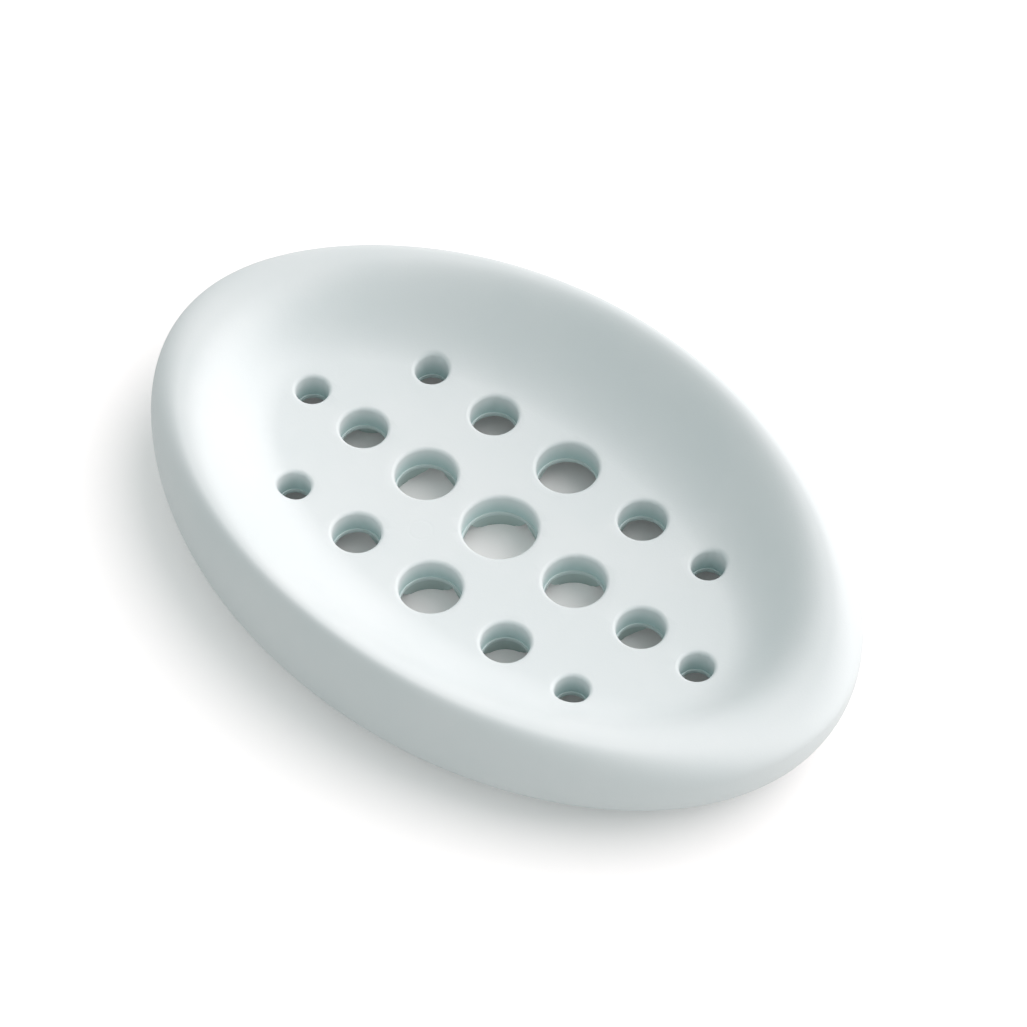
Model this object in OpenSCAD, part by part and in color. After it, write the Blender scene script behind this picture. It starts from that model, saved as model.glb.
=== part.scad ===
// Oval soap dish with a wavy rim, a drained floor, a base plate and ten feet.
// Millimetres. X runs along the dish, Z is up, and the feet stand on Z = 0.

/* [Dish outline] */
// Overall length of the dish, at its widest level
dish_l = 129; // [120:0.5:140]
// Overall width of the dish, at its widest level
dish_w = 83; // [78:0.5:90]
// Height of the rim at the two ends
end_h = 15.8; // [14.5:0.1:17]
// Height of the rim at the two long sides
side_h = 20.2; // [18:0.1:23]
// Height of the dish's bottom edge above the surface that the feet stand on
bottom_gap = 0.6; // [0.3:0.1:1]

/* [Rim] */
// Height of the widest level at the ends
end_belly_h = 13.6; // [11:0.1:14]
// Height of the widest level at the long sides
side_belly_h = 6.8; // [5:0.1:9]
// Width of the outer rounding of the rim at the ends
end_round_w = 5.4; // [4:0.1:6]
// Width of the outer rounding of the rim at the long sides
side_round_w = 3.2; // [2.5:0.1:3.6]
// Width of the level lip between the rounding and the slope at the ends
end_lip_w = 1; // [0.5:0.1:3]
// Width of the level lip between the rounding and the slope at the long sides
side_lip_w = 0.3; // [0.2:0.1:1.5]
// How far the outer wall is drawn in at its foot
tuck = 7; // [5:0.1:8]

/* [Floor] */
// Height of the floor's middle above the surface that the feet stand on
floor_h = 7.8; // [7:0.1:9]
// Thickness of the floor at its middle
floor_t = 3.75; // [3.4:0.05:4.5]
// Length of the nearly flat part of the floor
floor_l = 86.8; // [86:0.2:92]
// Width of the nearly flat part of the floor
floor_w = 42; // [40:0.2:46]
// Rise of the floor from its middle to the ends of its flat part
floor_end_rise = 0.85; // [0.4:0.05:1.2]
// Rise of the floor from its middle to the sides of its flat part
floor_side_rise = 0.4; // [0.2:0.05:0.8]

/* [Drain holes] */
// Radius of the drain hole in the middle
centre_hole_r = 6; // [5.5:0.1:6.3]
// Radius of the four large drain holes
large_hole_r = 4.95; // [4.5:0.05:5.2]
// Radius of the six medium drain holes
medium_hole_r = 3.85; // [3.5:0.05:4]
// Radius of the six small drain holes
small_hole_r = 2.7; // [2.4:0.05:2.9]
// Width of material between two neighbouring holes of a row
web_w = 4.75; // [4.5:0.05:5]
// Distance from the middle row of holes to each side row
row_pitch = 15.95; // [15.5:0.05:16.5]
// Size of the bevel round each hole's upper edge
hole_bevel = 0.6; // [0.3:0.05:0.8]

/* [Recess and base plate] */
// Length of the recess under the dish
recess_l = 104; // [100:0.5:106]
// Width of the recess under the dish
recess_w = 60; // [56:0.5:61]
// Thickness of the base plate
plate_t = 0.8; // [0.6:0.05:1]
// How much smaller the plate's holes are in radius than the holes above them
plate_hole_ledge = 0.2; // [0.1:0.05:0.4]
// Gap between the base plate and the wall of the recess
plate_gap = 0.4; // [0.2:0.05:0.8]

/* [Feet] */
// Radius of an inner foot where it meets the base plate
inner_foot_r = 8.8; // [7.6:0.05:9]
// Radius of the flat bottom of an inner foot
inner_foot_flat_r = 6.9; // [6:0.05:7.2]
// Gap between neighbouring inner feet, where their rims are cut straight
inner_foot_gap = 0.4; // [0.3:0.05:1]
// Radius of a middle-row foot where it meets the base plate
row_foot_r = 5.8; // [4.6:0.05:6.4]
// Radius of the flat bottom of a middle-row foot
row_foot_flat_r = 2.4; // [2:0.05:3]
// Radius of an outer foot where it meets the base plate
outer_foot_r = 5.6; // [5:0.05:5.7]
// Radius of the flat bottom of an outer foot
outer_foot_flat_r = 4.4; // [3.8:0.05:4.8]
// How much wider the scallops in the feet are at the ground than at the base plate
scallop_draft = 0.6; // [0.2:0.05:0.8]
// Radius of the stem of an inner or outer foot
stem_r = 1.85; // [1.6:0.05:2]
// Radius of the stem of a middle-row foot
row_stem_r = 1.2; // [1:0.05:1.3]
// Length of the socket in the floor that a stem is pushed into
socket_h = 2.5; // [2:0.05:2.7]
// Gap in radius between a stem and its socket in the dish
socket_gap = 0.05; // [0.02:0.01:0.1]
// Gap in radius between a stem and its hole in the base plate
plate_stem_gap = 0.1; // [0.05:0.01:0.2]
// Gap between the end of a stem and the end of its socket
stem_end_gap = 0.2; // [0.1:0.05:0.4]

/* [Hidden] */

$fn = 64;

// Colours of the moulded dish, the plate and the feet
dish_colour = [0.88, 0.94, 0.93];
plate_colour = [0.80, 0.88, 0.87];
foot_colour = [0.74, 0.84, 0.83];

// Overrun of a cutter past the face that it opens
cut_over = 0.5;

// Counts that set how finely the dish's skin is divided
around_n = 96;
tuck_n = 5;
round_n = 6;
slope_n = 9;
floor_n = 4;

// Steps up the domed side of a foot
dome_n = 4;

// Exponent that says how late the outer wall turns in
tuck_power = 2.5;

// Shares of the slope's run that its two ends take to turn: at the lip, and at the floor
end_lip_turn_share = 0.5;
side_lip_turn_share = 0.2;
floor_turn_share = 0.46;

// Heights of the stack under the floor
floor_under = floor_h - floor_t;
plate_under = floor_under - plate_t;
socket_top = floor_under + socket_h;

// Places of the holes along the rows, from one constant web between neighbours
hole_x1 = centre_hole_r + web_w + large_hole_r;
hole_x2 = hole_x1 + large_hole_r + web_w + medium_hole_r;
hole_x3 = hole_x2 + medium_hole_r + web_w + small_hole_r;

// Each hole as [x, y, radius]: the middle row, then the two side rows
middle_row = [
    [0, 0, centre_hole_r],
    for (side = [-1, 1]) each [
        [side * hole_x1, 0, large_hole_r],
        [side * hole_x2, 0, medium_hole_r],
        [side * hole_x3, 0, small_hole_r],
    ],
];
side_rows = [
    for (row = [-1, 1]) each [
        [0, row * row_pitch, large_hole_r],
        for (side = [-1, 1]) each [
            [side * hole_x1, row * row_pitch, medium_hole_r],
            [side * hole_x2, row * row_pitch, small_hole_r],
        ],
    ],
];
holes = concat(middle_row, side_rows);

// Places of the feet: in the middle of the material that the holes leave
diagonal = norm([hole_x1, row_pitch]);
inner_foot_share = (diagonal + centre_hole_r - medium_hole_r) / 2 / diagonal;
inner_foot_x = hole_x1 * inner_foot_share;
inner_foot_y = row_pitch * inner_foot_share;
row_foot_x = hole_x1 + large_hole_r + web_w / 2;
outer_foot_x = (hole_x2 + hole_x3) / 2;
outer_foot_y = row_pitch / 2;

// A value that runs from its end size to its side size as the angle t goes round the dish
function around(end_value, side_value, t) =
    (end_value + side_value) / 2 + (end_value - side_value) / 2 * cos(2 * t);

// The widest outline, and its outward direction, at angle t
function outline(t) = [dish_l / 2 * cos(t), dish_w / 2 * sin(t)];
function outward(t) = let (n = [dish_w * cos(t), dish_l * sin(t)]) n / norm(n);

// The widest outline moved inwards by inset, at height z
function skin(t, inset, z) = let (p = outline(t) - inset * outward(t)) [p.x, p.y, z];

// Sizes that change round the dish
function rim_h(t) = around(end_h, side_h, t);
function belly_h(t) = around(end_belly_h, side_belly_h, t);
function round_w(t) = around(end_round_w, side_round_w, t);
function rim_w(t) = round_w(t) + around(end_lip_w, side_lip_w, t);
function lip_turn(t) = around(end_lip_turn_share, side_lip_turn_share, t);

// How far the floor has risen at its edge, at angle t
function edge_rise(t) = floor_end_rise * pow(cos(t), 2) + floor_side_rise * pow(sin(t), 2);

// The floor at angle t and at a share of the way from its middle to its edge
function floor_point(t, share) = [
    share * floor_l / 2 * cos(t),
    share * floor_w / 2 * sin(t),
    floor_h + share * share * edge_rise(t),
];

// A curve through four guide points, s running from 0 to 1
function curve(a, b, c, d, s) =
    let (r = 1 - s)
    r * r * r * a + 3 * r * r * s * b + 3 * r * s * s * c + s * s * s * d;

// A smooth slope that leaves the lip level and meets the floor's edge at the floor's own slant
function slope_point(t, s) =
    let (
        top = skin(t, rim_w(t), rim_h(t)),
        low = floor_point(t, 1),
        run = [low.x - top.x, low.y - top.y, 0],
        slant = 2 * edge_rise(t) / norm([low.x, low.y]),
        from_lip = top + lip_turn(t) * run,
        to_floor = low - floor_turn_share * (run - [0, 0, norm(run) * slant])
    )
    curve(top, from_lip, to_floor, low, s);

// One line over the skin at angle t, from the bottom edge over the rim to near the floor's middle
function skin_line(t) = concat(
    [for (i = [0:tuck_n - 1])
        let (d = 1 - i / tuck_n)
        skin(t, tuck * pow(d, tuck_power), belly_h(t) - (belly_h(t) - bottom_gap) * d)],
    [for (i = [0:round_n])
        let (a = 90 * i / round_n)
        skin(t, round_w(t) * (1 - cos(a)), belly_h(t) + (rim_h(t) - belly_h(t)) * sin(a))],
    [for (i = [0:slope_n]) slope_point(t, i / slope_n)],
    [for (i = [1:floor_n - 1]) floor_point(t, 1 - i / floor_n)]
);

// The closed skin of the dish: rings of points, a point at the floor's middle and one below it
module dish_skin() {
    lines = [for (i = [0:around_n - 1]) skin_line(360 * i / around_n)];
    ring_n = len(lines[0]);
    points = concat(
        [for (j = [0:ring_n - 1]) for (i = [0:around_n - 1]) lines[i][j]],
        [[0, 0, floor_h], [0, 0, bottom_gap]]
    );
    top_point = ring_n * around_n;
    function at(j, i) = j * around_n + i % around_n;
    faces = concat(
        [for (j = [0:ring_n - 2]) for (i = [0:around_n - 1]) each [
            [at(j, i), at(j + 1, i), at(j + 1, i + 1)],
            [at(j, i), at(j + 1, i + 1), at(j, i + 1)],
        ]],
        [for (i = [0:around_n - 1]) [at(ring_n - 1, i), top_point, at(ring_n - 1, i + 1)]],
        [for (i = [0:around_n - 1]) [at(0, i + 1), top_point + 1, at(0, i)]]
    );
    polyhedron(points, faces);
}

// An oval prism from the height low to the height high
module oval(length, width, low, high) {
    translate([0, 0, low])
        linear_extrude(high - low)
            polygon([for (i = [0:around_n - 1])
                let (t = 360 * i / around_n)
                [length / 2 * cos(t), width / 2 * sin(t)]]);
}

// Height of the floor's upper side at a place on it
function floor_z(x, y) =
    floor_h + floor_end_rise * pow(2 * x / floor_l, 2) + floor_side_rise * pow(2 * y / floor_w, 2);

// A drain hole through the floor, with its upper edge bevelled
module drain_hole(x, y, r) {
    top = floor_z(x, y);
    translate([x, y, floor_under - cut_over])
        cylinder(r = r, h = top + cut_over - floor_under + cut_over);
    translate([x, y, top - hole_bevel])
        cylinder(r1 = r, r2 = r + 2 * hole_bevel, h = 2 * hole_bevel);
}

// The place of one foot from its corner signs
function foot_place(kind, sx, sy) =
    kind == "inner" ? [sx * inner_foot_x, sy * inner_foot_y] :
    kind == "row" ? [sx * row_foot_x, 0] :
    [sx * outer_foot_x, sy * outer_foot_y];

// Every foot as [place, stem radius]
stems = concat(
    [for (sx = [-1, 1]) for (sy = [-1, 1]) [foot_place("inner", sx, sy), stem_r]],
    [for (sx = [-1, 1]) [foot_place("row", sx, 0), row_stem_r]],
    [for (sx = [-1, 1]) for (sy = [-1, 1]) [foot_place("outer", sx, sy), stem_r]]
);

module dish() {
    color(dish_colour)
        difference() {
            dish_skin();
            oval(recess_l, recess_w, bottom_gap - cut_over, floor_under);
            for (h = holes) drain_hole(h.x, h.y, h.z);
            for (s = stems)
                translate([s[0].x, s[0].y, floor_under - cut_over])
                    cylinder(r = s[1] + socket_gap, h = cut_over + socket_h);
        }
}

module base_plate() {
    color(plate_colour)
        difference() {
            oval(recess_l - 2 * plate_gap, recess_w - 2 * plate_gap, plate_under, floor_under);
            for (h = holes)
                translate([h.x, h.y, plate_under - cut_over])
                    cylinder(r = h.z - plate_hole_ledge, h = plate_t + 2 * cut_over);
            for (s = stems)
                translate([s[0].x, s[0].y, plate_under - cut_over])
                    cylinder(r = s[1] + plate_stem_gap, h = plate_t + 2 * cut_over);
        }
}

// Radius at the height z of the scallop that a foot has round a drain hole of radius r
function scallop_r(r, z) = r + scallop_draft * (1 - z / plate_under);

// A foot: a domed pad under the base plate, cut back round the drain holes, and its stem
module foot(place, top_r, flat_r, pin_r) {
    pad_h = plate_under;
    flare = top_r - flat_r;
    stem_top = socket_top - stem_end_gap;
    color(foot_colour)
        difference() {
            translate([place.x, place.y, 0])
                rotate_extrude()
                    polygon(concat(
                        [for (i = [0:dome_n])
                            [flat_r + flare * sin(90 * i / dome_n), pad_h * i / dome_n]],
                        [[pin_r, pad_h], [pin_r, stem_top], [0, stem_top], [0, 0]]
                    ));
            for (h = holes)
                translate([h.x, h.y, -cut_over])
                    cylinder(
                        r1 = scallop_r(h.z, -cut_over),
                        r2 = scallop_r(h.z, pad_h + cut_over),
                        h = pad_h + 2 * cut_over
                    );
        }
}

// An inner foot, cut straight where it would reach its neighbours
module inner_foot(sx, sy) {
    reach = inner_foot_x + inner_foot_y + inner_foot_r;
    intersection() {
        foot(foot_place("inner", sx, sy), inner_foot_r, inner_foot_flat_r, stem_r);
        translate([sx * (inner_foot_gap + reach) / 2, sy * (inner_foot_gap + reach) / 2, 0])
            cube([reach, reach, 2 * socket_top], center = true);
    }
}

module row_foot(sx) {
    foot(foot_place("row", sx, 0), row_foot_r, row_foot_flat_r, row_stem_r);
}

module outer_foot(sx, sy) {
    foot(foot_place("outer", sx, sy), outer_foot_r, outer_foot_flat_r, stem_r);
}

dish();
base_plate();
inner_foot(-1, -1);  // inner_foot_front_left
inner_foot(1, -1);  // inner_foot_front_right
inner_foot(-1, 1);  // inner_foot_back_left
inner_foot(1, 1);  // inner_foot_back_right
row_foot(-1);  // row_foot_left
row_foot(1);  // row_foot_right
outer_foot(-1, -1);  // outer_foot_front_left
outer_foot(1, -1);  // outer_foot_front_right
outer_foot(-1, 1);  // outer_foot_back_left
outer_foot(1, 1);  // outer_foot_back_right
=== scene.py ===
"""Models an oval soap dish with drain holes, a base plate and ten feet, on a studio stage."""

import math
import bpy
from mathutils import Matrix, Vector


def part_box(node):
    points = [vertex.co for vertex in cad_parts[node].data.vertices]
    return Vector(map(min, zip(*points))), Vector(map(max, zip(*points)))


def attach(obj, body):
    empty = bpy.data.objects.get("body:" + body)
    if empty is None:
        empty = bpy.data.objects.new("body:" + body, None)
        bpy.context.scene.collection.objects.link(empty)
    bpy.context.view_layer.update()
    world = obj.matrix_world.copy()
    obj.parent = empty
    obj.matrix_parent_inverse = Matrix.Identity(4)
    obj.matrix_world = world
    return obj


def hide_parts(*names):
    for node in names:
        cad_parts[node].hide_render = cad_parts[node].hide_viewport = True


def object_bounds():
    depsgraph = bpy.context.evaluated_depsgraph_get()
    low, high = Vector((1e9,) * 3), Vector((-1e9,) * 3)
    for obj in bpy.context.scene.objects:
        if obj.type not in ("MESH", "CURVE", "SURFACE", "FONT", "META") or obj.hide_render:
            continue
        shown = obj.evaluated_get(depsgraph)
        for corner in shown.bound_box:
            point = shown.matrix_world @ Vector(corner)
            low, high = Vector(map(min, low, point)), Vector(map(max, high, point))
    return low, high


bl_info = {
    "name": "Drained soap dish",
    "version": (1, 0, 0),
    "blender": (4, 5, 0),
    "location": "3D View > Sidebar > Soap dish",
    "description": "Models an oval soap dish with drain holes, a base plate and rubber feet",
    "category": "Add Mesh",
}

import bpy
from mathutils import Matrix, Vector

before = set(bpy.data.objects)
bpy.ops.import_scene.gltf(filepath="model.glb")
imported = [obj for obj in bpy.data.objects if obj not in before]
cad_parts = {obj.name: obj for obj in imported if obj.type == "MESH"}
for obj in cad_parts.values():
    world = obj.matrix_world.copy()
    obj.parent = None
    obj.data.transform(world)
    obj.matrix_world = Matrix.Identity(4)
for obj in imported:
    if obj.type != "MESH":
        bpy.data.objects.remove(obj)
cad_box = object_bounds()

MM = 0.001
ROOT = "root"

# How finely the pieces are divided: steps round them, and rings over each part of a section
STEPS_ROUND = 240
CEILING_SHARES = (0.06, 0.3, 0.55, 0.78, 0.94)
BEND_RINGS = 4
RECESS_WALL_RINGS = 3
TUCK_RINGS = 16
ROUND_RINGS = 16
LIP_RINGS = 2
SLOPE_RINGS = 30
FLOOR_RINGS = 14
FLOOR_CENTRE_SHARE = 0.06
HOLE_SIDES = 96
STEM_SIDES = 48
LIP_BENDS = 8
PAD_EDGE_BENDS = 4
PAD_RINGS = 10
PLATE_EDGE_BENDS = 2

# Where a hole's lip ends on the cutter, and the turn between two faces that still look smooth
LAST_BEND = math.radians(80)
SMOOTH_ANGLE = math.radians(38)

# How far a cutter stands clear of what it cuts, and how near two points count as one
CLEAR = 1 * MM
NEARLY = 0.0005 * MM

# Where a blend begins and ends, as shares of the way from the dish's middle to its outline: the
# painted shade of deeper mint in the holes, the painted light under the middle, and the painted
# light of the open floor
PAINTED_BORE_SHADE_FADE = (0.7, 0.8)
PAINTED_LIGHT_MIDDLE_FADE = (0.2, 0.7)
SHADOW_FADE = (0.4, 1.45)

# The stage: the floor's size in metres, and the camera's sensor in millimetres and nearest view
FLOOR_SIZE = 8
SENSOR_WIDTH = 36
NEAREST_VIEW = 10 * MM


def length(name, description, default):
    """A property that holds a length in metres."""
    return bpy.props.FloatProperty(
        name=name, description=description, default=default, unit="LENGTH", precision=5
    )


def share(name, description, default):
    """A property that holds a share from 0 to 1."""
    return bpy.props.FloatProperty(
        name=name, description=description, default=default, min=0, max=1, subtype="FACTOR"
    )


def angle(name, description, degrees):
    """A property that holds an angle."""
    return bpy.props.FloatProperty(
        name=name, description=description, default=math.radians(degrees), subtype="ANGLE"
    )


def number(name, description, default):
    """A property that holds a plain number."""
    return bpy.props.FloatProperty(name=name, description=description, default=default)


def colour(name, description, default):
    """A property that holds a linear colour."""
    return bpy.props.FloatVectorProperty(
        name=name, description=description, default=default, size=3, min=0, max=1, subtype="COLOR"
    )


class DishSizes(bpy.types.PropertyGroup):
    """Sizes of the moulded dish."""

    length: length("Length", "Overall length at the widest level", cad_box[1][0] - cad_box[0][0])
    width: length("Width", "Overall width at the widest level", cad_box[1][1] - cad_box[0][1])
    end_height: length("End height", "Height of the rim at the two ends", 15.8 * MM)
    side_height: length("Side height", "Height of the rim at the long sides", cad_box[1][2])
    bottom_gap: length("Bottom gap", "Height of the dish's bottom edge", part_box("dish")[0][2])
    end_belly: length("End belly", "Height of the widest level at the ends", 13.6 * MM)
    side_belly: length("Side belly", "Height of the widest level at the long sides", 6.8 * MM)
    end_round: length("End rounding", "Width of the rim's outer rounding at the ends", 5.4 * MM)
    side_round: length("Side rounding", "Width of the rim's outer rounding at the sides", 3.2 * MM)
    end_lip: length("End lip", "Width of the rim's level lip at the ends", 1 * MM)
    side_lip: length("Side lip", "Width of the rim's level lip at the sides", 0.3 * MM)
    tuck: length("Tuck", "How far the outer wall is drawn in at its foot", 7 * MM)
    foot_bend: length("Foot bend", "Rounding of the bottom edges", 0.6 * MM)
    tuck_power: number("Tuck power", "How late the outer wall turns in", 2.5)
    end_lip_turn: share("End lip turn", "Share of the slope that turns at the end lips", 0.5)
    side_lip_turn: share("Side lip turn", "Share of the slope that turns at the side lips", 0.2)
    floor_turn: share("Floor turn", "Share of the slope that levels out at the floor", 0.46)
    floor_height: length("Floor height", "Height of the floor's middle", 7.8 * MM)
    floor_length: length("Floor length", "Length of the nearly flat part of the floor", 86.8 * MM)
    floor_width: length("Floor width", "Width of the nearly flat part of the floor", 42 * MM)
    floor_end_rise: length("Floor end rise", "Rise of the floor to its ends", 0.85 * MM)
    floor_side_rise: length("Floor side rise", "Rise of the floor to its sides", 0.4 * MM)
    recess_length: length("Recess length", "Length of the recess under the dish", 104 * MM)
    recess_width: length("Recess width", "Width of the recess under the dish", 60 * MM)
    recess_top: length("Recess top", "Height of the recess's ceiling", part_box("base_plate")[1][2])
    socket_depth: length("Socket depth", "Depth of the sockets for the feet's stems", 2.5 * MM)
    socket_gap: length("Socket gap", "Gap in radius between a stem and its socket", 0.05 * MM)


class HoleSizes(bpy.types.PropertyGroup):
    """Sizes and places of the drain holes."""

    centre: length("Centre hole", "Radius of the hole in the middle", 6 * MM)
    large: length("Large holes", "Radius of the four large holes", 4.95 * MM)
    medium: length("Medium holes", "Radius of the six medium holes", 3.85 * MM)
    small: length("Small holes", "Radius of the six small holes", 2.7 * MM)
    web: length("Web", "Material between two neighbouring holes of a row", 4.75 * MM)
    row_pitch: length("Row pitch", "Distance from the middle row to each side row", 15.95 * MM)
    lip: length("Lip", "Radius of the rounding at each hole's upper edge", 0.65 * MM)
    plate_ledge: length("Plate ledge", "How much smaller the plate's holes are in radius", 0.2 * MM)
    plate_edge: length("Plate edge", "Rounding of the plate's edges", 0.1 * MM)


class FootSizes(bpy.types.PropertyGroup):
    """Sizes of the feet under the base plate."""

    inner: length("Inner foot", "Radius of an inner foot at the plate", 8.8 * MM)
    inner_flat: length("Inner foot flat", "Radius of an inner foot's flat bottom", 6.9 * MM)
    inner_gap: length("Inner foot gap", "Gap between neighbouring inner feet", 0.4 * MM)
    row: length("Row foot", "Radius of a middle-row foot at the plate", 5.8 * MM)
    row_flat: length("Row foot flat", "Radius of a middle-row foot's flat bottom", 2.4 * MM)
    outer: length("Outer foot", "Radius of an outer foot at the plate", 5.6 * MM)
    outer_flat: length("Outer foot flat", "Radius of an outer foot's flat bottom", 4.4 * MM)
    draft: length("Scallop draft", "How much wider a foot's scallops are at the ground", 0.6 * MM)
    stem: length("Stem", "Radius of an inner or outer foot's stem", 1.85 * MM)
    row_stem: length("Row stem", "Radius of a middle-row foot's stem", 1.2 * MM)
    stem_top: length("Stem top", "Height of the top of the stems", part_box("row_foot_left")[1][2])
    stem_gap: length("Stem gap", "Gap in radius between a stem and the plate", 0.1 * MM)
    edge: length("Edge", "Rounding of a foot's lower edge", 0.33 * MM)
    stem_tip: length("Stem tip", "Chamfer at the top of the stems", 0.22 * MM)
    sliver: length("Sliver", "Points of a foot that lie closer than this become one", 0.004 * MM)


class Colours(bpy.types.PropertyGroup):
    """Colours of the pieces and the stage."""

    dish: colour("Dish", "Pale mint of the moulding", (0.79, 0.852, 0.852))
    dish_deep: colour("Dish, deeper", "The moulding's faint mottling", (0.77, 0.838, 0.839))
    # Painted shade: a darker, deeper mint that stands for the shade down the drain holes
    painted_bore_shade: colour("Bore", "The moulding's deeper mint inside the drain holes", (0.57, 0.74, 0.735))
    # Painted shade: the plate's mint is darker than the dish's, to stand for the shade down the
    # drain holes
    plate: colour("Plate", "Mint of the base plate", (0.66, 0.77, 0.76))
    # Painted shade: the feet's mint is darker still, to stand for the shade on them down the drain
    # holes
    feet: colour("Feet", "Mint of the rubber feet", (0.56, 0.67, 0.65))
    ground: colour("Ground", "The studio floor", (0.865, 0.858, 0.85))
    key: colour("Key light", "Slightly warm daylight", (1, 0.9, 0.91))
    fill: colour("Fill light", "Slightly cool light from all round", (0.93, 1, 1))


class GrainSizes(bpy.types.PropertyGroup):
    """Sizes of the grain and the marks in the finishes."""

    mottle: length("Mottle", "Size of the moulding's faint mottling", 18 * MM)
    swell: length("Swell", "Size of the moulding's gentle unevenness", 3.5 * MM)
    dish: length("Dish grain", "Size of the dish's velvety grain", 0.28 * MM)
    dish_depth: length("Dish grain depth", "Depth of the dish's grain", 0.012 * MM)
    mark_width: length("Mark width", "Width of the faint ring over a socket", 0.35 * MM)
    plate: length("Plate grain", "Size of the plate's grain", 0.35 * MM)
    plate_depth: length("Plate grain depth", "Depth of the plate's grain", 0.01 * MM)
    rubber: length("Rubber grain", "Size of the rubber's grain", 0.22 * MM)
    rubber_depth: length("Rubber grain depth", "Depth of the rubber's grain", 0.014 * MM)
    scuff: length("Scuff", "Size of the scuffs under the feet", 1.2 * MM)
    scuff_height: length("Scuff height", "How far up the feet the scuffs reach", 0.5 * MM)


class CameraSizes(bpy.types.PropertyGroup):
    """The photograph's camera, as fitted to the holes and the outline."""

    azimuth: angle("Azimuth", "Turn of the camera round the dish, from its front", 42.282)
    elevation: angle("Elevation", "Height of the camera above the level", 52.438)
    distance: length("Distance", "Distance from the middle of the floor to the camera", 656.25 * MM)
    focal: number("Focal length", "Focal length of the lens in millimetres", 147.22)
    shift_x: number("Shift X", "Sideways shift of the frame", 0.01353)
    shift_y: number("Shift Y", "Upward shift of the frame", 0.01315)


class LightSizes(bpy.types.PropertyGroup):
    """The soft studio light."""

    key_azimuth: angle("Key azimuth", "Turn of the key light from the right", 66)
    key_elevation: angle("Key elevation", "Height of the key light", 42)
    key_spread: angle("Key spread", "Width of the key light as the dish sees it", 75)
    key_strength: number("Key strength", "Strength of the key light", 2.6)
    fill_strength: number("Fill strength", "Strength of the light from all round", 0.455)
    # Painted light: the open floor's glow towards white, which also shapes how the dish's shadow
    # fades
    lift: number("Lift", "How far the open floor is lifted towards white", 0.41)
    # Painted light: a glow on the floor under the dish's middle, seen through the drain holes
    painted_light_under_middle: number("Middle lift", "How far the floor under the middle is lifted", 0.125)


class SoapDish(bpy.types.PropertyGroup):
    """Everything that a user can change."""

    dish: bpy.props.PointerProperty(type=DishSizes, name="Dish", description="Sizes of the dish")
    holes: bpy.props.PointerProperty(type=HoleSizes, name="Holes", description="Sizes of the holes")
    feet: bpy.props.PointerProperty(type=FootSizes, name="Feet", description="Sizes of the feet")
    colours: bpy.props.PointerProperty(type=Colours, name="Colours", description="Colours")
    grain: bpy.props.PointerProperty(type=GrainSizes, name="Grain", description="Grain and marks")
    camera: bpy.props.PointerProperty(type=CameraSizes, name="Camera", description="The camera")
    light: bpy.props.PointerProperty(type=LightSizes, name="Light", description="The light")


# Materials

class Value:
    """A number that a node gives out. Sums on it add Math nodes."""

    def __init__(self, finish, socket):
        self.finish = finish
        self.socket = socket

    def __add__(self, other):
        return self.finish.sum("ADD", self, other)

    __radd__ = __add__

    def __sub__(self, other):
        return self.finish.sum("SUBTRACT", self, other)

    def __rsub__(self, other):
        return self.finish.sum("SUBTRACT", other, self)

    def __mul__(self, other):
        return self.finish.sum("MULTIPLY", self, other)

    __rmul__ = __mul__


class Finish:
    """A material that is being put together from nodes."""

    def __init__(self, name):
        self.material = bpy.data.materials.new(name)
        self.material.use_nodes = True
        self.tree = self.material.node_tree
        self.tree.nodes.clear()

    def node(self, kind, settings=None, sockets=None, out=0):
        """Adds a node, sets it up, gives its sockets values or links, and returns one output."""
        node = self.tree.nodes.new(kind)
        for name, setting in (settings or {}).items():
            setattr(node, name, setting)
        for name, given in (sockets or {}).items():
            socket = next(s for s in node.inputs if name in (s.identifier, s.name))
            if isinstance(given, Value):
                self.tree.links.new(given.socket, socket)
            else:
                socket.default_value = given
        return Value(self, node.outputs[out]) if node.outputs else node

    def sum(self, operation, first, second):
        """A Math node on two values or numbers."""
        return self.node(
            "ShaderNodeMath", {"operation": operation}, {"Value": first, "Value_001": second}
        )

    def blend(self, factor, first, second):
        """A colour between two colours."""
        first, second = (c if isinstance(c, Value) else (*c, 1) for c in (first, second))
        return self.node(
            "ShaderNodeMix",
            {"data_type": "RGBA"},
            {"Factor_Float": factor, "A_Color": first, "B_Color": second},
            out=2,
        )

    def place(self):
        """The point on the piece, in metres."""
        return self.node("ShaderNodeTexCoord", out=3)

    def noise(self, size, detail):
        """Noise whose lumps are about that size."""
        return self.node(
            "ShaderNodeTexNoise",
            None,
            {"Vector": self.place(), "Scale": 1 / size, "Detail": detail},
        )

    def reach(self, dish):
        """The distance from the middle, at 1 on the dish's outline."""
        scaled = self.node(
            "ShaderNodeVectorMath",
            {"operation": "MULTIPLY"},
            {"Vector": self.place(), "Vector_001": (2 / dish.length, 2 / dish.width, 0)},
        )
        return self.node("ShaderNodeVectorMath", {"operation": "LENGTH"}, {"Vector": scaled}, out=1)

    def height(self):
        """The height above the ground, in metres."""
        return self.node("ShaderNodeSeparateXYZ", None, {"Vector": self.place()}, out=2)

    def step(self, value, low, high):
        """A smooth step from 0 at low to 1 at high."""
        return self.node(
            "ShaderNodeMapRange",
            {"interpolation_type": "SMOOTHSTEP"},
            {"Value": value, "From Min": low, "From Max": high},
        )

    def bump(self, height, distance):
        """A bump of that height in metres where the value is 1."""
        return self.node(
            "ShaderNodeBump", None, {"Height": height, "Distance": distance, "Strength": 1}
        )

    def surface(self, sockets):
        """Ends the material with the main shader."""
        shader = self.node("ShaderNodeBsdfPrincipled", None, sockets)
        self.node("ShaderNodeOutputMaterial", None, {"Surface": shader})
        return self.material


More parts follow.
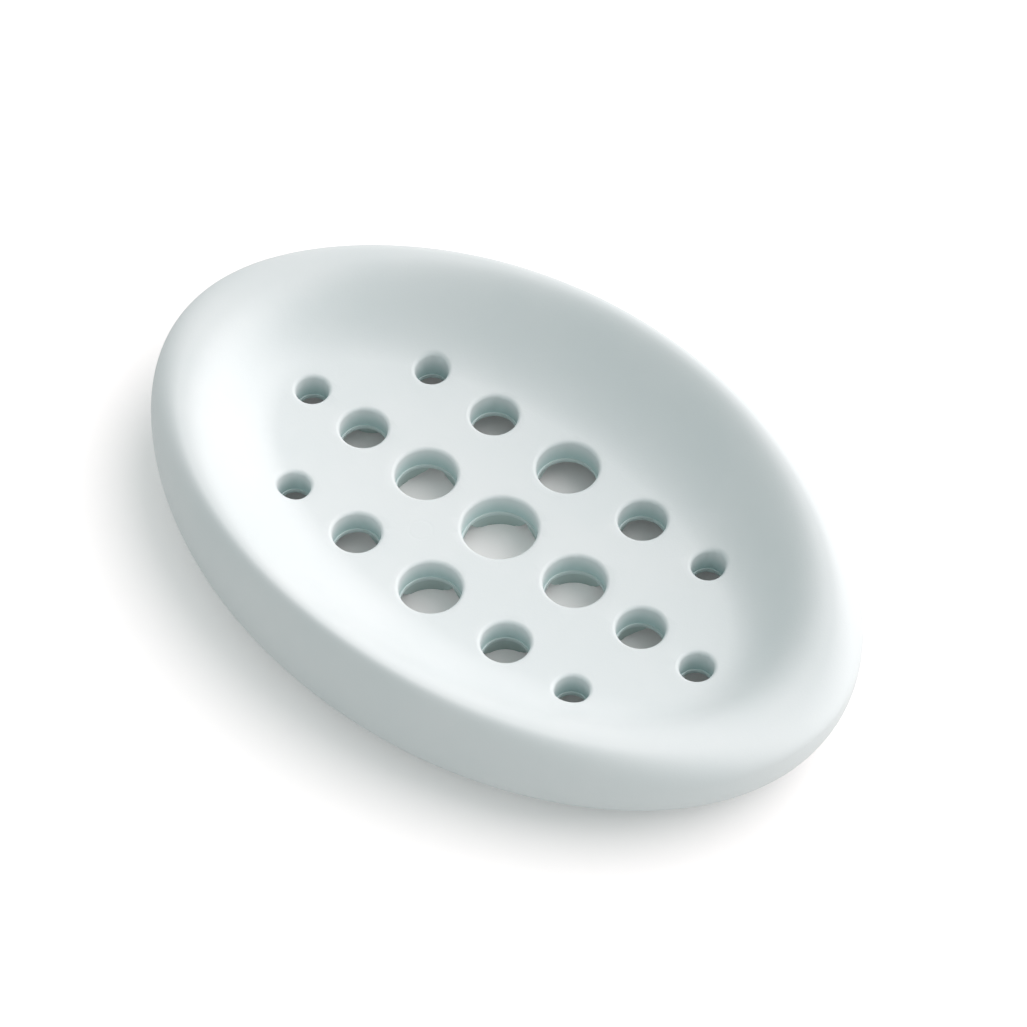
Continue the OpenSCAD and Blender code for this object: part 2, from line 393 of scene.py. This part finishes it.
def ring_mark(finish, centre, radius, width):
    """A mask of a thin ring on the floor, round a point."""
    flat = finish.node(
        "ShaderNodeVectorMath",
        {"operation": "MULTIPLY"},
        {"Vector": finish.place(), "Vector_001": (1, 1, 0)},
    )
    reach = finish.node(
        "ShaderNodeVectorMath",
        {"operation": "DISTANCE"},
        {"Vector": flat, "Vector_001": (*centre, 0)},
        out=1,
    )
    off = finish.node("ShaderNodeMath", {"operation": "ABSOLUTE"}, {"Value": reach - radius})
    return 1 - finish.step(off, 0, width)


def soft_touch(soap, socket_mark, mark_radius):
    """The dish's pale mint soft-touch finish. It has faint mottling, a velvety grain, painted shade
    inside the drain holes as a darker, deeper mint, and one faint socket mark."""
    finish = Finish("soft_touch_mint")
    colours, sizes, floor = soap.colours, soap.grain, soap.dish.floor_height
    mottle = finish.noise(sizes.mottle, 3)
    skin = finish.blend(finish.step(mottle, 0.35, 0.65), colours.dish, colours.dish_deep)
    low = 1 - finish.step(finish.height(), floor / 2, floor)
    # Painted shade: the hole walls below the floor, near the dish's middle, take the darker mint
    inside = low * (1 - finish.step(finish.reach(soap.dish), *PAINTED_BORE_SHADE_FADE))
    grain = finish.noise(sizes.dish, 3)
    swell = finish.noise(sizes.swell, 1)
    mark = ring_mark(finish, socket_mark, mark_radius, sizes.mark_width)
    grained = finish.bump(grain + 2 * swell - 0.9 * mark, sizes.dish_depth)
    return finish.surface({
        "Base Color": finish.blend(inside, skin, colours.painted_bore_shade),
        "Roughness": 0.47 + 0.1 * grain,
        "Normal": grained,
        "Specular IOR Level": 0.42,
        "Sheen Weight": 0.12,
        "Sheen Roughness": 0.5,
    })


def plain_moulding(soap):
    """The base plate's plainer mint moulding, with flow lines along its length. Its mint is made
    darker as painted shade for what is seen down the drain holes.
    """
    finish = Finish("plate_painted_shade_mint")
    along = finish.node(
        "ShaderNodeMapping", None, {"Vector": finish.place(), "Scale": (0.25, 1, 1)}
    )
    flow = finish.node("ShaderNodeTexNoise", None, {"Vector": along, "Scale": 260, "Detail": 2})
    grain = finish.noise(soap.grain.plate, 2)
    mint = soap.colours.plate
    shade = tuple(0.955 * c for c in mint)
    return finish.surface({
        "Base Color": finish.blend(finish.step(flow, 0.4, 0.65), mint, shade),
        "Roughness": 0.42 + 0.12 * grain,
        "Normal": finish.bump(grain + 0.6 * flow, soap.grain.plate_depth),
        "Specular IOR Level": 0.45,
    })


def foot_rubber(soap):
    """The feet's matte mint rubber, with a fine grain and faint scuffing where they stand. Its mint
    is made darker as painted shade for the feet seen down the drain holes.
    """
    finish = Finish("foot_rubber_painted_shade_mint")
    sizes, mint = soap.grain, soap.colours.feet
    low = 1 - finish.step(finish.height(), 0.1 * sizes.scuff_height, sizes.scuff_height)
    grain = finish.noise(sizes.rubber, 3)
    scuff = finish.noise(sizes.scuff, 4)
    worn = low * finish.step(scuff, 0.42, 0.6)
    dusty = tuple(0.86 * c for c in mint)
    return finish.surface({
        "Base Color": finish.blend(0.8 * worn, mint, dusty),
        "Roughness": 0.62 + 0.16 * grain,
        "Normal": finish.bump(grain + 0.5 * scuff, sizes.rubber_depth),
        "Specular IOR Level": 0.35,
    })


def studio_ground(soap):
    """The stage's matte floor. The camera sees it lifted by painted light: to white outside the
    dish's shadow, with the shadow's fade shaped by the lift, and a little under the dish's middle,
    seen through the drain holes.
    """
    finish = Finish("studio_ground")
    matte = finish.node("ShaderNodeBsdfDiffuse", None, {"Color": (*soap.colours.ground, 1)})
    reach = finish.reach(soap.dish)
    # Painted light: the floor under the dish's middle glows, so the ground seen down the holes is
    # lighter
    middle = soap.light.painted_light_under_middle * (1 - finish.step(reach, *PAINTED_LIGHT_MIDDLE_FADE))
    # Painted light: the open floor glows towards white away from the dish, which also sets how fast
    # the dish's shadow fades
    lift = middle + soap.light.lift * finish.step(reach, *SHADOW_FADE)
    seen = finish.node("ShaderNodeLightPath", out=0)
    white = finish.blend(seen * lift, (0, 0, 0), (1, 1, 1))
    glow = finish.node("ShaderNodeEmission", None, {"Color": white, "Strength": 1})
    both = finish.node("ShaderNodeAddShader", None, {"Shader": matte, "Shader_001": glow})
    finish.node("ShaderNodeOutputMaterial", None, {"Surface": both})
    return finish.material


# Modelling helpers

def deselect_all():
    """Leaves nothing selected."""
    bpy.ops.object.select_all(action="DESELECT")


def take(piece):
    """Makes one piece the only selected and active one."""
    deselect_all()
    piece.select_set(True)
    bpy.context.view_layer.objects.active = piece


def edit(piece):
    """Goes into edit mode on a piece with all of it selected."""
    take(piece)
    bpy.ops.object.mode_set(mode="EDIT")
    bpy.ops.mesh.select_all(action="SELECT")


def leave_edit():
    """Goes back to object mode."""
    bpy.ops.object.mode_set(mode="OBJECT")


def face_outwards(piece, closest=NEARLY):
    """Merges points that lie closer than that and turns all faces outwards."""
    edit(piece)
    bpy.ops.mesh.remove_doubles(threshold=closest)
    bpy.ops.mesh.normals_make_consistent(inside=False)
    leave_edit()


def add_disc(radius, height, sides):
    """Adds a filled circle as a new piece, and stays in edit mode with it selected."""
    deselect_all()
    bpy.ops.mesh.primitive_circle_add(
        vertices=sides, radius=radius, fill_type="NGON", location=(0, 0, height)
    )
    disc = bpy.context.object
    bpy.ops.object.transform_apply(location=True, rotation=True, scale=True)
    edit(disc)
    return disc


def raise_face(by, scale=1):
    """Extrudes the selected face upwards and scales the new one about the Z axis."""
    bpy.ops.mesh.extrude_region_move(TRANSFORM_OT_translate={"value": (0, 0, by)})
    if scale != 1:
        bpy.ops.transform.resize(value=(scale, scale, 1), center_override=(0, 0, 0))


def turned(name, outline, sides):
    """A round solid raised ring by ring from a disc, through (radius, height) pairs."""
    solid = add_disc(outline[0][0], outline[0][1], sides)
    for (radius, height), (next_radius, next_height) in zip(outline, outline[1:]):
        raise_face(next_height - height, next_radius / radius)
    leave_edit()
    solid.name = name
    face_outwards(solid)
    return solid


def copy_at(piece, matrix):
    """A copy of a piece with its own mesh, moved by a matrix that is then part of its mesh."""
    twin = piece.copy()
    twin.data = piece.data.copy()
    twin.data.transform(matrix)
    bpy.context.collection.objects.link(twin)
    return twin


def join(pieces):
    """Joins pieces into the first one."""
    take(pieces[0])
    for piece in pieces:
        piece.select_set(True)
    bpy.ops.object.join()
    return bpy.context.object


def drop(piece):
    """Deletes a piece that was only a tool."""
    take(piece)
    bpy.ops.object.delete()


def cut(piece, cutter):
    """Cuts a piece with a cutter, which is used up."""
    take(piece)
    modifier = piece.modifiers.new("cut", "BOOLEAN")
    modifier.operation = "DIFFERENCE"
    modifier.solver = "EXACT"
    modifier.object = cutter
    bpy.ops.object.modifier_apply(modifier=modifier.name)
    drop(cutter)


def soften(piece, width, segments):
    """Rounds a piece's sharp edges."""
    take(piece)
    modifier = piece.modifiers.new("soften", "BEVEL")
    modifier.width = width
    modifier.segments = segments
    modifier.limit_method = "ANGLE"
    modifier.angle_limit = SMOOTH_ANGLE
    bpy.ops.object.modifier_apply(modifier=modifier.name)


def finish_piece(piece, name, node, material):
    """Names a piece, gives it its finish and puts it in the place of its CAD node."""
    take(piece)
    bpy.ops.object.shade_smooth_by_angle(angle=SMOOTH_ANGLE)
    piece.name = name
    piece.data.name = name
    piece.data.materials.clear()
    piece.data.materials.append(material)
    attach(piece, ROOT)
    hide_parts(node)


# The dish's section

def around(end_value, side_value, turn):
    """A size that runs from its end value to its side value as the angle goes round the dish."""
    return (end_value + side_value) / 2 + (end_value - side_value) / 2 * math.cos(2 * turn)


def wall_point(dish, turn, inset, height):
    """A point of the widest outline, moved inwards by inset, at a height."""
    along = Vector((dish.length / 2 * math.cos(turn), dish.width / 2 * math.sin(turn)))
    outward = Vector((dish.width * math.cos(turn), dish.length * math.sin(turn))).normalized()
    place = along - inset * outward
    return Vector((place.x, place.y, height))


def oval_point(long_size, short_size, turn, height):
    """A point of an oval of that length and width, at a height."""
    return Vector((long_size / 2 * math.cos(turn), short_size / 2 * math.sin(turn), height))


def floor_rise(dish, turn):
    """How far the floor has risen at its edge."""
    return dish.floor_end_rise * math.cos(turn) ** 2 + dish.floor_side_rise * math.sin(turn) ** 2


def floor_point(dish, turn, out):
    """A point of the floor at a share of the way from its middle to its edge."""
    height = dish.floor_height + out * out * floor_rise(dish, turn)
    return oval_point(out * dish.floor_length, out * dish.floor_width, turn, height)


def shares(count):
    """That many even shares, the last of which is 1."""
    return [i / count for i in range(1, count + 1)]


def recess_line(dish, turn):
    """The section's underside at one angle: the ceiling, the recess's wall and the bottom edge."""
    bend = dish.foot_bend
    long_size, short_size = dish.recess_length, dish.recess_width
    line = [
        oval_point(long_size * out, short_size * out, turn, dish.recess_top)
        for out in CEILING_SHARES
    ]
    for part in [0] + shares(BEND_RINGS):
        bent = part * math.pi / 2
        pull = 2 * bend * (1 - math.sin(bent))
        height = dish.recess_top - bend * (1 - math.cos(bent))
        line.append(oval_point(long_size - pull, short_size - pull, turn, height))
    top, low = dish.recess_top - bend, dish.bottom_gap + bend
    for part in shares(RECESS_WALL_RINGS):
        line.append(oval_point(long_size, short_size, turn, top + (low - top) * part))
    for part in shares(BEND_RINGS):
        bent = part * math.pi / 2
        push = 2 * bend * (1 - math.cos(bent))
        height = low - bend * math.sin(bent)
        line.append(oval_point(long_size + push, short_size + push, turn, height))
    return line


def wall_line(dish, turn):
    """The section's outer side at one angle: the tucked wall, the rounding and the lip."""
    belly = around(dish.end_belly, dish.side_belly, turn)
    crest = around(dish.end_height, dish.side_height, turn)
    rounding = around(dish.end_round, dish.side_round, turn)
    rim = rim_width(dish, turn)
    line = [wall_point(dish, turn, dish.tuck + dish.foot_bend, dish.bottom_gap)]
    for part in [0] + shares(TUCK_RINGS):
        down = 1 - part
        height = belly - (belly - dish.bottom_gap) * down
        line.append(wall_point(dish, turn, dish.tuck * down ** dish.tuck_power, height))
    for part in shares(ROUND_RINGS):
        bent = part * math.pi / 2
        inset = rounding * (1 - math.cos(bent))
        line.append(wall_point(dish, turn, inset, belly + (crest - belly) * math.sin(bent)))
    for part in shares(LIP_RINGS):
        line.append(wall_point(dish, turn, rounding + (rim - rounding) * part, crest))
    return line


def rim_width(dish, turn):
    """The rim's whole width at one angle: its rounding and its level lip."""
    rounding = around(dish.end_round, dish.side_round, turn)
    return rounding + around(dish.end_lip, dish.side_lip, turn)


def slope_line(dish, turn):
    """The inner slope at one angle, from the lip down to the floor's edge."""
    crest = around(dish.end_height, dish.side_height, turn)
    top = wall_point(dish, turn, rim_width(dish, turn), crest)
    low = floor_point(dish, turn, 1)
    run = Vector((low.x - top.x, low.y - top.y, 0))
    lip_turn = around(dish.end_lip_turn, dish.side_lip_turn, turn)
    steepness = 2 * floor_rise(dish, turn) / low.xy.length
    from_lip = top + lip_turn * run
    to_floor = low - dish.floor_turn * run
    to_floor.z += dish.floor_turn * run.length * steepness
    line = []
    for part in shares(SLOPE_RINGS):
        left = 1 - part
        line.append(
            left ** 3 * top
            + 3 * left * left * part * from_lip
            + 3 * left * part * part * to_floor
            + part ** 3 * low
        )
    return line


def floor_line(dish, turn):
    """The floor at one angle, from its edge to near its middle."""
    return [
        floor_point(dish, turn, 1 - (1 - FLOOR_CENTRE_SHARE) * part)
        for part in shares(FLOOR_RINGS)
    ]


def section(dish, turn):
    """The whole section at one angle, from the ceiling's middle round to the floor's middle."""
    return (
        recess_line(dish, turn)
        + wall_line(dish, turn)
        + slope_line(dish, turn)
        + floor_line(dish, turn)
    )


# Places of the holes and feet, and the cutters for them

def hole_places(holes):
    """Each drain hole as (x, y, radius): the middle row, then the two side rows."""
    first = holes.centre + holes.web + holes.large
    second = first + holes.large + holes.web + holes.medium
    third = second + holes.medium + holes.web + holes.small
    rows = [(0, 0, holes.centre)]
    for side in (-1, 1):
        rows += [
            (side * first, 0, holes.large),
            (side * second, 0, holes.medium),
            (side * third, 0, holes.small),
        ]
    for row in (-holes.row_pitch, holes.row_pitch):
        rows.append((0, row, holes.large))
        for side in (-1, 1):
            rows += [(side * first, row, holes.medium), (side * second, row, holes.small)]
    return rows


def inner_foot_place(holes):
    """The middle of the material between the centre hole and its diagonal neighbour."""
    first = holes.centre + holes.web + holes.large
    diagonal = math.hypot(first, holes.row_pitch)
    out = (diagonal + holes.centre - holes.medium) / 2 / diagonal
    return first * out, holes.row_pitch * out


def row_foot_place(holes):
    """The middle of the web between a large and a medium hole of the middle row."""
    return holes.centre + holes.web + 2 * holes.large + holes.web / 2, 0


def outer_foot_place(holes):
    """The middle of the material among the last holes of the rows."""
    last_two = [x for x, y, _ in hole_places(holes) if y == 0 and x > 0][1:]
    return sum(last_two) / 2, holes.row_pitch / 2


def stem_places(holes, feet):
    """Each foot's stem as (x, y, radius)."""
    places = []
    for (x, y), radius in (
        (inner_foot_place(holes), feet.stem),
        (outer_foot_place(holes), feet.stem),
    ):
        places += [(sx * x, sy * y, radius) for sx in (-1, 1) for sy in (-1, 1)]
    x, y = row_foot_place(holes)
    return places + [(sx * x, y, feet.row_stem) for sx in (-1, 1)]


def surface_height(shell, x, y):
    """The height of a piece's upper side at a place, as met from a metre up."""
    hit, place, _, _ = shell.ray_cast((x, y, 1), (0, 0, -1))
    if not hit:
        raise RuntimeError(f"nothing lies under ({x:.4f}, {y:.4f})")
    return place.z


def lipped_outline(radius, lip, depth):
    """A drain cutter's outline: a straight hole with a rounded lip that ends at height 0."""
    outline = [(radius, -depth), (radius, -lip)]
    for part in shares(LIP_BENDS):
        bent = LAST_BEND * part
        outline.append((radius + lip * (1 - math.cos(bent)), lip * (math.sin(bent) - 1)))
    over = 0.1 * lip
    outline.append((outline[-1][0] + over / math.tan(math.pi / 2 - LAST_BEND), over))
    return outline


def drape(cutter, shell, x, y, depth):
    """Moves a drain cutter to its place and lets its lip follow the surface there."""
    cutter.data.transform(Matrix.Translation((x, y, 0)))
    for vertex in cutter.data.vertices:
        if vertex.co.z > -depth:
            vertex.co.z += surface_height(shell, vertex.co.x, vertex.co.y)


def raise_top(cutter, height):
    """Carries the cutter's top straight up to a level height."""
    top = max(face.center.z for face in cutter.data.polygons)
    edit(cutter)
    bpy.ops.mesh.select_all(action="DESELECT")
    leave_edit()
    for face in cutter.data.polygons:
        face.select = len(face.vertices) > 4 and face.center.z > 0
    bpy.ops.object.mode_set(mode="EDIT")
    bpy.ops.mesh.extrude_region_move(TRANSFORM_OT_translate={"value": (0, 0, height)})
    bpy.ops.transform.resize(value=(1, 1, 0), center_override=(0, 0, top + height))
    leave_edit()


# Operators, one for each piece or group of like pieces

class BuildDish(bpy.types.Operator):
    """Models the dish: rings laid over its section, with drain holes and sockets cut in them"""

    bl_idname = "soap_dish.build_dish"
    bl_label = "Build the dish"

    def execute(self, context):
        soap = context.scene.soap_dish
        lines = [
            section(soap.dish, 2 * math.pi * i / STEPS_ROUND) for i in range(STEPS_ROUND)
        ]
        shell = self.tube(len(lines[0]))
        for vertex in shell.data.vertices:
            turn = math.atan2(vertex.co.y, vertex.co.x)
            step = round(turn / (2 * math.pi) * STEPS_ROUND) % STEPS_ROUND
            vertex.co = lines[step][round(vertex.co.z)]
        face_outwards(shell)
        cut(shell, self.cutters(shell, soap))
        face_outwards(shell)
        x, y = inner_foot_place(soap.holes)
        material = soft_touch(soap, (-x, -y), soap.feet.stem)
        finish_piece(shell, "soft_dish", "dish", material)
        return {"FINISHED"}

    def tube(self, rings):
        """A closed tube with a ring of points at each whole height."""
        tube = add_disc(1, 0, STEPS_ROUND)
        for _ in range(rings - 1):
            raise_face(1)
        leave_edit()
        return tube

    def cutters(self, shell, soap):
        """All drain holes and stem sockets as one cutter."""
        dish, holes, feet = soap.dish, soap.holes, soap.feet
        tools, placed = {}, []
        for x, y, radius in hole_places(holes):
            if radius not in tools:
                outline = lipped_outline(radius, holes.lip, 2 * dish.floor_height)
                tools[radius] = turned("drain_cutter", outline, HOLE_SIDES)
            drain = copy_at(tools[radius], Matrix())
            drape(drain, shell, x, y, dish.floor_height)
            raise_top(drain, CLEAR)
            placed.append(drain)
        for x, y, radius in stem_places(holes, feet):
            wide = radius + dish.socket_gap
            outline = [(wide, dish.recess_top - CLEAR), (wide, dish.recess_top + dish.socket_depth)]
            socket = turned("socket_cutter", outline, STEM_SIDES)
            socket.data.transform(Matrix.Translation((x, y, 0)))
            placed.append(socket)
        for tool in tools.values():
            drop(tool)
        return join(placed)


class BuildPlate(bpy.types.Operator):
    """Models the base plate: an oval sheet with the drain holes and stem holes cut in it"""

    bl_idname = "soap_dish.build_plate"
    bl_label = "Build the base plate"

    def execute(self, context):
        soap = context.scene.soap_dish
        holes, feet = soap.holes, soap.feet
        low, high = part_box("base_plate")
        sheet = add_disc(1, low[2], STEPS_ROUND)
        bpy.ops.transform.resize(value=(high[0], high[1], 1), center_override=(0, 0, 0))
        raise_face(high[2] - low[2])
        leave_edit()
        face_outwards(sheet)
        placed = []
        for x, y, radius in hole_places(holes):
            placed.append((x, y, radius - holes.plate_ledge, HOLE_SIDES))
        for x, y, radius in stem_places(holes, feet):
            placed.append((x, y, radius + feet.stem_gap, STEM_SIDES))
        cutters = []
        for x, y, radius, sides in placed:
            outline = [(radius, low[2] - CLEAR), (radius, high[2] + CLEAR)]
            tool = turned("plate_cutter", outline, sides)
            tool.data.transform(Matrix.Translation((x, y, 0)))
            cutters.append(tool)
        cut(sheet, join(cutters))
        soften(sheet, holes.plate_edge, PLATE_EDGE_BENDS)
        face_outwards(sheet)
        finish_piece(sheet, "moulded_plate", "base_plate", plain_moulding(soap))
        return {"FINISHED"}


def foot_outline(feet, top_radius, flat_radius, stem_radius, pad_height):
    """A foot's outline from its flat bottom over the domed pad to the top of its stem."""
    edge, tip = feet.edge, feet.stem_tip
    outline = []
    for part in [0] + shares(PAD_EDGE_BENDS):
        bent = part * math.pi / 2
        outline.append((flat_radius - edge * (1 - math.sin(bent)), edge * (1 - math.cos(bent))))
    for part in shares(PAD_RINGS):
        rise = edge + (pad_height - edge) * part
        bent = math.pi / 2 * rise / pad_height
        outline.append((flat_radius + (top_radius - flat_radius) * math.sin(bent), rise))
    outline += [
        (stem_radius, pad_height),
        (stem_radius, feet.stem_top - tip),
        (stem_radius - tip, feet.stem_top),
    ]
    return outline


def trim(piece, limit, axis):
    """Cuts off what a piece has below a limit on one axis, and closes it there."""
    edit(piece)
    bpy.ops.mesh.bisect(
        plane_co=limit * axis, plane_no=axis, use_fill=True, clear_inner=True, threshold=NEARLY
    )
    leave_edit()


def scalloped_foot(place, outline, holes, feet, pad_height):
    """A foot at its place, cut back round the drain holes and clear of its neighbours."""
    x, y = place
    foot = turned("foot", outline, HOLE_SIDES)
    foot.data.transform(Matrix.Translation((x, y, 0)))
    widest = max(radius for radius, _ in outline)
    for reach, axis in ((x, Vector((1, 0, 0))), (y, Vector((0, 1, 0)))):
        if 0 < reach < widest + feet.inner_gap / 2:
            trim(foot, feet.inner_gap / 2, axis)
    cutters = []
    for hole_x, hole_y, radius in hole_places(holes):
        if math.hypot(hole_x - x, hole_y - y) < widest + radius + feet.draft:
            slant = feet.draft / pad_height
            scallop = [
                (radius + slant * (pad_height - height), height)
                for height in (-CLEAR, pad_height + CLEAR)
            ]
            tool = turned("scallop_cutter", scallop, HOLE_SIDES)
            tool.data.transform(Matrix.Translation((hole_x, hole_y, 0)))
            cutters.append(tool)
    if cutters:
        cut(foot, join(cutters))
    face_outwards(foot, feet.sliver)
    return foot


class BuildInnerFeet(bpy.types.Operator):
    """Models the four scalloped feet round the middle"""

    bl_idname = "soap_dish.build_inner_feet"
    bl_label = "Build the inner feet"

    def execute(self, context):
        soap = context.scene.soap_dish
        feet = soap.feet
        build_feet(
            soap, "inner", inner_foot_place(soap.holes), feet.inner, feet.inner_flat, feet.stem
        )
        return {"FINISHED"}


class BuildRowFeet(bpy.types.Operator):
    """Models the two small feet of the middle row"""

    bl_idname = "soap_dish.build_row_feet"
    bl_label = "Build the middle-row feet"

    def execute(self, context):
        soap = context.scene.soap_dish
        feet = soap.feet
        build_feet(soap, "row", row_foot_place(soap.holes), feet.row, feet.row_flat, feet.row_stem)
        return {"FINISHED"}


class BuildOuterFeet(bpy.types.Operator):
    """Models the four round feet near the ends"""

    bl_idname = "soap_dish.build_outer_feet"
    bl_label = "Build the outer feet"

    def execute(self, context):
        soap = context.scene.soap_dish
        feet = soap.feet
        build_feet(
            soap, "outer", outer_foot_place(soap.holes), feet.outer, feet.outer_flat, feet.stem
        )
        return {"FINISHED"}


def build_feet(soap, kind, place, top_radius, flat_radius, stem_radius):
    """Models one foot at the back right and copies it to its other corners."""
    pad_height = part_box("base_plate")[0][2]
    outline = foot_outline(soap.feet, top_radius, flat_radius, stem_radius, pad_height)
    first = scalloped_foot(place, outline, soap.holes, soap.feet, pad_height)
    rubber = bpy.data.materials.get("foot_rubber_painted_shade_mint") or foot_rubber(soap)
    ends = ((-1, "front_"), (1, "back_")) if place[1] else ((1, ""),)
    for sx, side in ((-1, "left"), (1, "right")):
        for sy, end in ends:
            foot = copy_at(first, Matrix.Diagonal((sx, sy, 1, 1)))
            if sx * sy < 0:
                face_outwards(foot)
            node = f"{kind}_foot_{end}{side}"
            finish_piece(foot, f"rubber_{node}", node, rubber)
    drop(first)


class BuildStage(bpy.types.Operator):
    """Sets the pale floor, the soft light and the photograph's camera"""

    bl_idname = "soap_dish.build_stage"
    bl_label = "Build the stage"

    def execute(self, context):
        soap = context.scene.soap_dish
        self.floor(soap)
        self.light(soap.light, soap.colours)
        self.camera(context.scene, soap)
        return {"FINISHED"}

    def floor(self, soap):
        """A wide matte floor under the feet."""
        deselect_all()
        bpy.ops.mesh.primitive_plane_add(size=FLOOR_SIZE, location=(0, 0, 0))
        floor = bpy.context.object
        floor.name = "studio_floor"
        floor.data.materials.append(studio_ground(soap))

    def light(self, light, colours):
        """A broad key light from behind on the right, and even light from all round."""
        out = Vector((
            math.cos(light.key_azimuth) * math.cos(light.key_elevation),
            math.sin(light.key_azimuth) * math.cos(light.key_elevation),
            math.sin(light.key_elevation),
        ))
        lamp = bpy.data.lights.new("key_light", "SUN")
        lamp.color = colours.key
        lamp.energy = light.key_strength
        lamp.angle = light.key_spread
        key = bpy.data.objects.new("key_light", lamp)
        key.location = out
        key.rotation_euler = out.to_track_quat("Z", "Y").to_euler()
        bpy.context.collection.objects.link(key)
        world = bpy.data.worlds.new("studio_air")
        bpy.context.scene.world = world
        world.use_nodes = True
        nodes, links = world.node_tree.nodes, world.node_tree.links
        nodes.clear()
        path = nodes.new("ShaderNodeLightPath")
        fill = nodes.new("ShaderNodeBackground")
        fill.inputs["Color"].default_value = (*colours.fill, 1)
        fill.inputs["Strength"].default_value = light.fill_strength
        white = nodes.new("ShaderNodeBackground")
        white.inputs["Color"].default_value = (1, 1, 1, 1)
        white.inputs["Strength"].default_value = 1
        mix = nodes.new("ShaderNodeMixShader")
        links.new(path.outputs["Is Camera Ray"], mix.inputs[0])
        links.new(fill.outputs[0], mix.inputs[1])
        links.new(white.outputs[0], mix.inputs[2])
        output = nodes.new("ShaderNodeOutputWorld")
        links.new(mix.outputs[0], output.inputs["Surface"])

    def camera(self, scene, soap):
        """The fitted camera, aimed at the middle of the dish's floor."""
        view = soap.camera
        back = Vector((
            math.sin(view.azimuth) * math.cos(view.elevation),
            -math.cos(view.azimuth) * math.cos(view.elevation),
            math.sin(view.elevation),
        ))
        lens = bpy.data.cameras.new("photo_camera")
        lens.sensor_fit = "HORIZONTAL"
        lens.sensor_width = SENSOR_WIDTH
        lens.lens = view.focal
        lens.shift_x = view.shift_x
        lens.shift_y = view.shift_y
        lens.clip_start = NEAREST_VIEW
        camera = bpy.data.objects.new("photo_camera", lens)
        camera.location = Vector((0, 0, soap.dish.floor_height)) + view.distance * back
        camera.rotation_euler = back.to_track_quat("Z", "Y").to_euler()
        bpy.context.collection.objects.link(camera)
        scene.camera = camera
        scene.view_settings.view_transform = "Standard"


class SoapDishPanel(bpy.types.Panel):
    """Lists the steps that build the soap dish"""

    bl_idname = "VIEW3D_PT_soap_dish"
    bl_label = "Soap dish"
    bl_space_type = "VIEW_3D"
    bl_region_type = "UI"
    bl_category = "Soap dish"

    def draw(self, context):
        for step in STEPS:
            self.layout.operator(step.bl_idname)


GROUPS = (
    DishSizes,
    HoleSizes,
    FootSizes,
    Colours,
    GrainSizes,
    CameraSizes,
    LightSizes,
    SoapDish,
)
STEPS = (BuildDish, BuildPlate, BuildInnerFeet, BuildRowFeet, BuildOuterFeet, BuildStage)


def register():
    """Registers the classes and the scene's sizes."""
    for group in GROUPS + STEPS + (SoapDishPanel,):
        bpy.utils.register_class(group)
    bpy.types.Scene.soap_dish = bpy.props.PointerProperty(type=SoapDish)


def unregister():
    """Removes the classes and the scene's sizes."""
    del bpy.types.Scene.soap_dish
    for group in reversed(GROUPS + STEPS + (SoapDishPanel,)):
        bpy.utils.unregister_class(group)


def main():
    """Builds every piece and the stage."""
    register()
    bpy.ops.soap_dish.build_dish()
    bpy.ops.soap_dish.build_plate()
    bpy.ops.soap_dish.build_inner_feet()
    bpy.ops.soap_dish.build_row_feet()
    bpy.ops.soap_dish.build_outer_feet()
    bpy.ops.soap_dish.build_stage()


if __name__ == "__main__":
    main()
